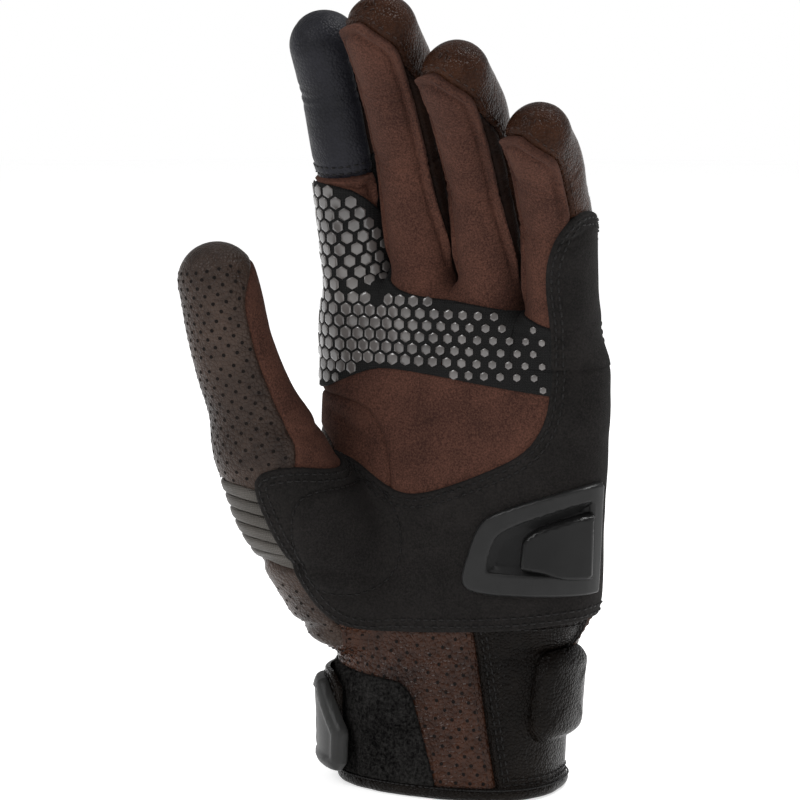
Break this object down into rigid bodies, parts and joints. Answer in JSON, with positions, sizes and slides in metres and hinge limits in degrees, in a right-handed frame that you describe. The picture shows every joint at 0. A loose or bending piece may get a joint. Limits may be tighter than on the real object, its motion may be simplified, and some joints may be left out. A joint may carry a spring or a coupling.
{
  "type": "riding glove",
  "caption": "Short-cuff motorcycle riding glove for a left hand, with padded palm, palm slider, grip patch, knuckle guard and wrist strap.",
  "frame": {"origin": "centre of the glove's plan box, on the plane of the cuff's rim", "axes": "+Z from the cuff to the fingers, the palm faces -Y, the thumb is at -X and the little finger at +X"},
  "size_m": [0.1286, 0.0922, 0.2566],
  "materials": {
    "suede": "brown suede, matt nap",
    "leather": "dark brown smooth leather, soft sheen",
    "perforated": "brown perforated leather, soft sheen",
    "black_suede": "black suede, matt nap",
    "black_leather": "black smooth leather, soft sheen",
    "touch_leather": "blue-black touchscreen leather, soft sheen",
    "grip": "grey silicone hexagons on black fabric, glossy",
    "stretch": "grey ribbed stretch fabric",
    "hard_shell": "gun-metal grey moulded plastic, satin",
    "hard_dark": "black moulded plastic, matt",
    "rubber": "dark grey moulded rubber, matt",
    "loop_pile": "black hook-and-loop pile",
    "lining": "black knitted lining",
    "foam": "grey foam padding"
  },
  "bodies": {
    "cuff": {"cuff_palm_panel": "perforated", "cuff_ulnar_panel": "black_leather", "cuff_back_panel": "leather", "cuff_lining": "lining", "cuff_binding": "black_leather", "wrist_pad": "black_leather", "loop_patch": "loop_pile", "strap_anchor": "black_leather"},
    "hand": {"palm_panel": "suede", "thumb_gusset": "suede", "thenar_side_upper": "perforated", "thenar_stretch_panel": "stretch", "thenar_side_lower": "perforated", "back_panel": "leather", "palm_overlay": "black_suede", "grip_patch": "grip", "knuckle_guard": "hard_shell", "guard_pad": "foam", "thenar_pad": "foam", "heel_pad": "foam", "hand_lining": "lining", "slider_frame": "hard_shell", "slider_base": "hard_dark", "slider_puck": "hard_shell"},
    "strap": {"strap_band": "black_leather", "strap_hook": "loop_pile", "strap_tab": "rubber"},
    "index_proximal": {"index_proximal_palm": "suede", "index_proximal_back": "leather", "grip_patch_index": "grip"},
    "index_middle": {"index_middle_palm": "suede", "index_middle_back": "leather"},
    "index_distal": {"index_distal_palm": "touch_leather", "index_distal_back": "leather"},
    "middle_proximal": {"middle_proximal_palm": "suede", "middle_proximal_back": "leather"},
    "middle_middle": {"middle_middle_palm": "suede", "middle_middle_back": "leather"},
    "middle_distal": {"middle_distal_palm": "suede", "middle_distal_back": "leather"},
    "ring_proximal": {"ring_proximal_palm": "suede", "ring_proximal_back": "leather"},
    "ring_middle": {"ring_middle_palm": "suede", "ring_middle_back": "leather"},
    "ring_distal": {"ring_distal_palm": "suede", "ring_distal_back": "leather"},
    "little_proximal": {"little_proximal_palm": "suede", "little_proximal_back": "leather", "overlay_little": "black_suede"},
    "little_middle": {"little_middle_palm": "suede", "little_middle_back": "leather"},
    "little_distal": {"little_distal_palm": "suede", "little_distal_back": "leather"},
    "thumb_proximal": {"thumb_proximal_palm": "suede", "thumb_proximal_back": "perforated"},
    "thumb_distal": {"thumb_distal_palm": "suede", "thumb_distal_back": "perforated"}
  },
  "joints": [
    {"name": "wrist_flex", "type": "hinge", "parent": "cuff", "child": "hand", "pos_m": [0.0081, 0.015, 0.047], "axis": [1, 0, 0], "range_deg": [-20, 20], "stiffness_Nm_per_rad": 2},
    {"name": "index_knuckle", "type": "hinge", "parent": "hand", "child": "index_proximal", "pos_m": [-0.0242, 0.016, 0.163], "axis": [1, 0, 0], "range_deg": [-15, 55], "stiffness_Nm_per_rad": 0.15},
    {"name": "index_middle_joint", "type": "hinge", "parent": "index_proximal", "child": "index_middle", "pos_m": [-0.02658, 0.01058, 0.20155], "axis": [1, 0, 0], "range_deg": [-8, 60], "stiffness_Nm_per_rad": 0.1},
    {"name": "index_tip_joint", "type": "hinge", "parent": "index_middle", "child": "index_distal", "pos_m": [-0.02823, 0.00315, 0.22745], "axis": [1, 0, 0], "range_deg": [-4.6, 33.2], "stiffness_Nm_per_rad": 0.06},
    {"name": "middle_knuckle", "type": "hinge", "parent": "hand", "child": "middle_proximal", "pos_m": [-0.0002, 0.016, 0.165], "axis": [1, 0, 0], "range_deg": [-15, 55], "stiffness_Nm_per_rad": 0.15},
    {"name": "middle_middle_joint", "type": "hinge", "parent": "middle_proximal", "child": "middle_middle", "pos_m": [-0.00095, 0.00487, 0.20653], "axis": [1, 0, 0], "range_deg": [-12, 60], "stiffness_Nm_per_rad": 0.1},
    {"name": "middle_tip_joint", "type": "hinge", "parent": "middle_middle", "child": "middle_distal", "pos_m": [-0.00146, -0.00829, 0.23236], "axis": [1, 0, 0], "range_deg": [-6.8, 33.2], "stiffness_Nm_per_rad": 0.06},
    {"name": "ring_knuckle", "type": "hinge", "parent": "hand", "child": "ring_proximal", "pos_m": [0.0233, 0.016, 0.162], "axis": [1, 0, 0], "range_deg": [-15, 55], "stiffness_Nm_per_rad": 0.15},
    {"name": "ring_middle_joint", "type": "hinge", "parent": "ring_proximal", "child": "ring_middle", "pos_m": [0.02396, 0.00426, 0.19814], "axis": [1, 0, 0], "range_deg": [-14, 60], "stiffness_Nm_per_rad": 0.1},
    {"name": "ring_tip_joint", "type": "hinge", "parent": "ring_middle", "child": "ring_distal", "pos_m": [0.02443, -0.01005, 0.22103], "axis": [1, 0, 0], "range_deg": [-7.9, 33.2], "stiffness_Nm_per_rad": 0.06},
    {"name": "little_knuckle", "type": "hinge", "parent": "hand", "child": "little_proximal", "pos_m": [0.0457, 0.016, 0.152], "axis": [1, 0, 0], "range_deg": [-15, 55], "stiffness_Nm_per_rad": 0.15},
    {"name": "little_middle_joint", "type": "hinge", "parent": "little_proximal", "child": "little_middle", "pos_m": [0.04814, 0.00638, 0.18556], "axis": [1, 0, 0], "range_deg": [-17, 60], "stiffness_Nm_per_rad": 0.1},
    {"name": "little_tip_joint", "type": "hinge", "parent": "little_middle", "child": "little_distal", "pos_m": [0.04975, -0.00612, 0.2048], "axis": [1, 0, 0], "range_deg": [-9.55, 33.2], "stiffness_Nm_per_rad": 0.06},
    {"name": "thumb_base", "type": "hinge", "parent": "hand", "child": "thumb_proximal", "pos_m": [-0.04, -0.0231, 0.113], "axis": [0.8475, -0.525, 0.0785], "range_deg": [-12, 25], "stiffness_Nm_per_rad": 0.2},
    {"name": "thumb_tip", "type": "hinge", "parent": "thumb_proximal", "child": "thumb_distal", "pos_m": [-0.04816, -0.0315, 0.14492], "axis": [-0.8475, 0.525, -0.0785], "range_deg": [-9, 45], "stiffness_Nm_per_rad": 0.1},
    {"name": "strap_peel", "type": "hinge", "parent": "cuff", "child": "strap", "pos_m": [-0.00136, 0.04531, 0], "axis": [0, 0, -1], "range_deg": [0, 75], "stiffness_Nm_per_rad": 0.05}
  ],
  "couplings": [
    {"joint": "index_tip_joint", "follows": "index_middle_joint", "ratio": 0.55},
    {"joint": "middle_tip_joint", "follows": "middle_middle_joint", "ratio": 0.55},
    {"joint": "ring_tip_joint", "follows": "ring_middle_joint", "ratio": 0.55},
    {"joint": "little_tip_joint", "follows": "little_middle_joint", "ratio": 0.55}
  ]
}
